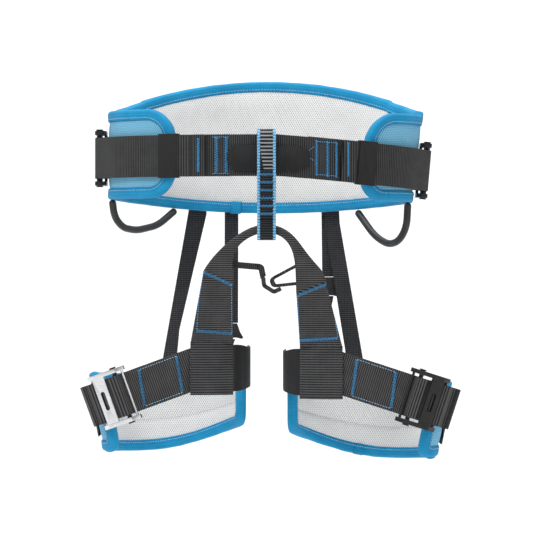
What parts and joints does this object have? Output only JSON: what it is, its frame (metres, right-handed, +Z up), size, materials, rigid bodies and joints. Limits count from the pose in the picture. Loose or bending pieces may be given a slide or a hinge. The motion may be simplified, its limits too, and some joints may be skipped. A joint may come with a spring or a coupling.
{
  "type": "climbing harness",
  "caption": "Climbing harness with a padded waist belt, adjustable padded leg loops, a sewn belay loop, rear risers and gear loops.",
  "frame": {"origin": "centre of the waist opening at the height of the belt, on the belay loop's middle plane", "axes": "+X to the right as seen from the front, +Y from the belay loop to the wearer's back, +Z up along the wearer's body"},
  "size_m": [0.4126, 0.2609, 0.4231],
  "materials": {
    "foam_core": "matte",
    "mesh_lining": "matte mesh",
    "blue_shell": "matte mesh",
    "blue_binding": "matte woven",
    "black_webbing": "ribbed",
    "black_sleeve": "smooth",
    "belay_webbing": "ribbed",
    "elastic": "ribbed",
    "dark_steel": "satin",
    "bright_steel": "polished",
    "black_plastic": "matte",
    "gear_tube": "matte"
  },
  "bodies": {
    "waist": {"waist_pad_foam": "foam_core", "waist_pad_liner": "mesh_lining", "waist_pad_shell": "blue_shell", "waist_pad_binding": "blue_binding", "waist_webbing_back": "black_webbing", "waist_strap_left": "black_webbing", "waist_strap_right": "black_webbing", "waist_buckle_frame_left": "dark_steel", "waist_buckle_frame_right": "dark_steel", "waist_anchor_left": "black_webbing", "waist_anchor_right": "black_webbing", "tie_in_webbing": "black_webbing", "tie_in_protector": "black_sleeve", "connector_hook": "black_plastic", "connector_strap_left": "elastic", "connector_loop_right": "elastic", "rear_riser_outer_left": "elastic", "rear_riser_outer_right": "elastic", "rear_riser_inner_left": "elastic", "rear_riser_inner_right": "elastic"},
    "belay": {"belay_loop": "belay_webbing", "belay_loop_lap": "belay_webbing"},
    "leg_left": {"front_bridge_left": "black_webbing", "front_riser_left": "black_webbing", "thigh_band_left": "black_sleeve", "leg_strap_left": "black_webbing", "leg_anchor_left": "black_webbing", "leg_webbing_back_left": "black_webbing", "leg_buckle_frame_left": "bright_steel", "leg_pad_foam_left": "foam_core", "leg_pad_liner_left": "mesh_lining", "leg_pad_shell_left": "blue_shell", "leg_pad_binding_left": "blue_binding", "rear_hook_left": "black_plastic", "rear_hook_loop_left": "elastic"},
    "leg_right": {"front_bridge_right": "black_webbing", "front_riser_right": "black_webbing", "thigh_band_right": "black_sleeve", "leg_strap_right": "black_webbing", "leg_anchor_right": "black_webbing", "leg_webbing_back_right": "black_webbing", "leg_buckle_frame_right": "dark_steel", "leg_pad_foam_right": "foam_core", "leg_pad_liner_right": "mesh_lining", "leg_pad_shell_right": "blue_shell", "leg_pad_binding_right": "blue_binding", "rear_hook_right": "black_plastic", "rear_hook_loop_right": "elastic"},
    "waist_bar_left": {"waist_buckle_bar_left": "dark_steel"},
    "waist_bar_right": {"waist_buckle_bar_right": "dark_steel"},
    "leg_bar_left": {"leg_buckle_bar_left": "bright_steel"},
    "leg_bar_right": {"leg_buckle_bar_right": "dark_steel"},
    "keeper_left": {"waist_keeper_left": "black_sleeve"},
    "keeper_right": {"waist_keeper_right": "black_sleeve"},
    "gear_left": {"gear_loop_left": "gear_tube"},
    "gear_right": {"gear_loop_right": "gear_tube"}
  },
  "joints": [
    {"name": "belay_loop_swing", "type": "hinge", "parent": "waist", "child": "belay", "pos_m": [0, -0.1255, 0.016], "axis": [1, 0, 0], "range_deg": [-1.2, 1.2]},
    {"name": "left_leg_swing", "type": "hinge", "parent": "waist", "child": "leg_left", "pos_m": [0, -0.1255, -0.0784], "axis": [1, 0, 0], "range_deg": [-25, 8], "stiffness_Nm_per_rad": 1.2, "springref_deg": 8.02, "deforming": ["rear_riser_outer_left", "rear_riser_inner_left", "connector_strap_left"]},
    {"name": "right_leg_swing", "type": "hinge", "parent": "waist", "child": "leg_right", "pos_m": [0, -0.1255, -0.0784], "axis": [1, 0, 0], "range_deg": [-25, 8], "stiffness_Nm_per_rad": 1.2, "springref_deg": 8.02, "deforming": ["rear_riser_outer_right", "rear_riser_inner_right", "connector_loop_right"]},
    {"name": "waist_bar_left_slide", "type": "slide", "parent": "waist", "child": "waist_bar_left", "axis": [0, 1, 0], "range_m": [0, 0.003]},
    {"name": "waist_bar_right_slide", "type": "slide", "parent": "waist", "child": "waist_bar_right", "axis": [0, 1, 0], "range_m": [0, 0.003]},
    {"name": "leg_bar_left_slide", "type": "slide", "parent": "leg_left", "child": "leg_bar_left", "axis": [-0.8517, 0.4226, -0.31], "range_m": [0, 0.003]},
    {"name": "leg_bar_right_slide", "type": "slide", "parent": "leg_right", "child": "leg_bar_right", "axis": [0.9045, 0.309, -0.2939], "range_m": [0, 0.003]},
    {"name": "keeper_left_slide_round_belt", "type": "hinge", "parent": "waist", "child": "keeper_left", "pos_m": [-0.0038, 0.09489, 0], "axis": [0, 0, 1], "range_deg": [-5, 3.5]},
    {"name": "keeper_right_slide_round_belt", "type": "hinge", "parent": "waist", "child": "keeper_right", "pos_m": [-0.00443, 0.09435, 0.00214], "axis": [0.0872, 0, 0.9962], "range_deg": [0, 3]},
    {"name": "gear_loop_left_swing", "type": "hinge", "parent": "waist", "child": "gear_left", "pos_m": [-0.1694, -0.005, -0.0493], "axis": [0.5642, 0.8226, -0.0714], "range_deg": [0, 20]},
    {"name": "gear_loop_right_swing", "type": "hinge", "parent": "waist", "child": "gear_right", "pos_m": [0.1555, -0.005, -0.0523], "axis": [0.5129, -0.8556, 0.07], "range_deg": [0, 20]}
  ]
}
